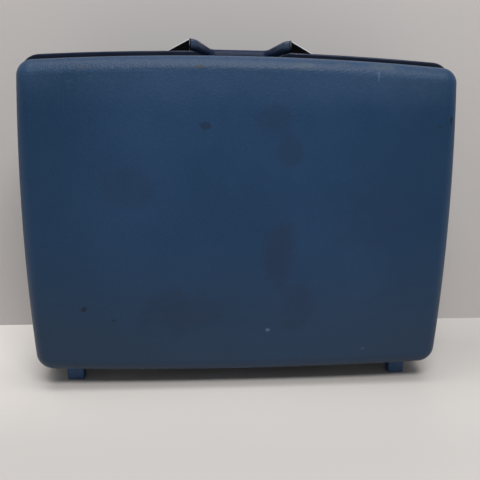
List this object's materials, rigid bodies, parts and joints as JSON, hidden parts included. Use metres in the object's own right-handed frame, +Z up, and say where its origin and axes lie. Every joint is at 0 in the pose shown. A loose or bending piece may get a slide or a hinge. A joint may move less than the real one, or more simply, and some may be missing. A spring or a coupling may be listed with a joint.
{
  "type": "hard-shell suitcase",
  "caption": "Moulded hard-shell suitcase with a hinged lid, closure frames, flip latches with locks, a folding carry handle, feet and a fabric lining.",
  "frame": {"origin": "on the floor under the middle of the case, which stands on its feet", "axes": "+X along the case, +Y from the lid to the base, +Z up from the hinge side to the handle side"},
  "size_m": [0.6088, 0.1898, 0.4941],
  "materials": {
    "shell": "moulded, fine leather grain, scuffed",
    "frame": "moulded, smooth, slight sheen",
    "foot": "moulded, worn sole",
    "handle": "smooth and glossy from use",
    "lining": "satin weave, quilted",
    "strap": "woven elastic webbing",
    "buckle": "moulded",
    "bracket": "moulded black",
    "bracket_cover": "polished plate",
    "latch": "plated, fine scratches",
    "button": "ribbed black",
    "lock": "turned",
    "spring": "blued spring steel",
    "steel": "bright plated"
  },
  "bodies": {
    "base": {"base_frame": "frame", "base_hinge_leaf_left": "steel", "base_hinge_leaf_right": "steel", "base_lining": "lining", "base_shell": "shell", "bracket_cover_left": "bracket_cover", "bracket_cover_right": "bracket_cover", "handle_bracket_left": "bracket", "handle_bracket_right": "bracket", "handle_pin_left": "steel", "handle_pin_right": "steel", "hinge_pin_left": "steel", "hinge_pin_right": "steel", "latch_plate_left": "latch", "latch_plate_right": "latch", "lever_pin_left": "steel", "lever_pin_right": "steel", "lever_spring_left": "spring", "lever_spring_right": "spring", "packing_strap_left": "strap", "packing_strap_right": "strap", "rear_foot_left": "foot", "rear_foot_right": "foot", "strap_buckle_left": "buckle", "strap_buckle_right": "buckle"},
    "lid": {"front_foot_left": "foot", "front_foot_right": "foot", "keeper_left": "steel", "keeper_right": "steel", "lid_frame": "frame", "lid_hinge_leaf_left": "steel", "lid_hinge_leaf_right": "steel", "lid_lining": "lining", "lid_pocket": "lining", "lid_shell": "shell"},
    "handle": {"handle_cap_left": "steel", "handle_cap_right": "steel", "handle_grip": "handle"},
    "latch_lever_left": {"latch_lever_left": "latch"},
    "release_button_left": {"release_button_left": "button"},
    "lock_plug_left": {"lock_plug_left": "lock"},
    "latch_lever_right": {"latch_lever_right": "latch"},
    "release_button_right": {"release_button_right": "button"},
    "lock_plug_right": {"lock_plug_right": "lock"}
  },
  "joints": [
    {"name": "lid_hinge", "type": "hinge", "parent": "base", "child": "lid", "pos_m": [0, -0.01515, 0.0186], "axis": [1, 0, 0], "range_deg": [0, 150]},
    {"name": "handle_swing", "type": "hinge", "parent": "base", "child": "handle", "pos_m": [0, 0.0103, 0.485], "axis": [1, 0, 0], "range_deg": [0, 195]},
    {"name": "lever_left", "type": "hinge", "parent": "base", "child": "latch_lever_left", "pos_m": [-0.20018, 0.022, 0.46819], "axis": [-0.9986, 0, -0.0521], "range_deg": [0, 70]},
    {"name": "button_left", "type": "slide", "parent": "base", "child": "release_button_left", "axis": [-0.9986, 0, -0.0521], "range_m": [0, 0.0025], "stiffness_N_per_m": 250},
    {"name": "key_turn_left", "type": "hinge", "parent": "base", "child": "lock_plug_left", "pos_m": [-0.17703, 0.0105, 0.46599], "axis": [-0.0521, 0, 0.9986], "range_deg": [0, 90]},
    {"name": "lever_right", "type": "hinge", "parent": "base", "child": "latch_lever_right", "pos_m": [0.20018, 0.022, 0.46819], "axis": [-0.9986, 0, 0.0521], "range_deg": [0, 70]},
    {"name": "button_right", "type": "slide", "parent": "base", "child": "release_button_right", "axis": [0.9986, 0, -0.0521], "range_m": [0, 0.0025], "stiffness_N_per_m": 250},
    {"name": "key_turn_right", "type": "hinge", "parent": "base", "child": "lock_plug_right", "pos_m": [0.17703, 0.0105, 0.46599], "axis": [0.0521, 0, 0.9986], "range_deg": [0, 90]}
  ]
}
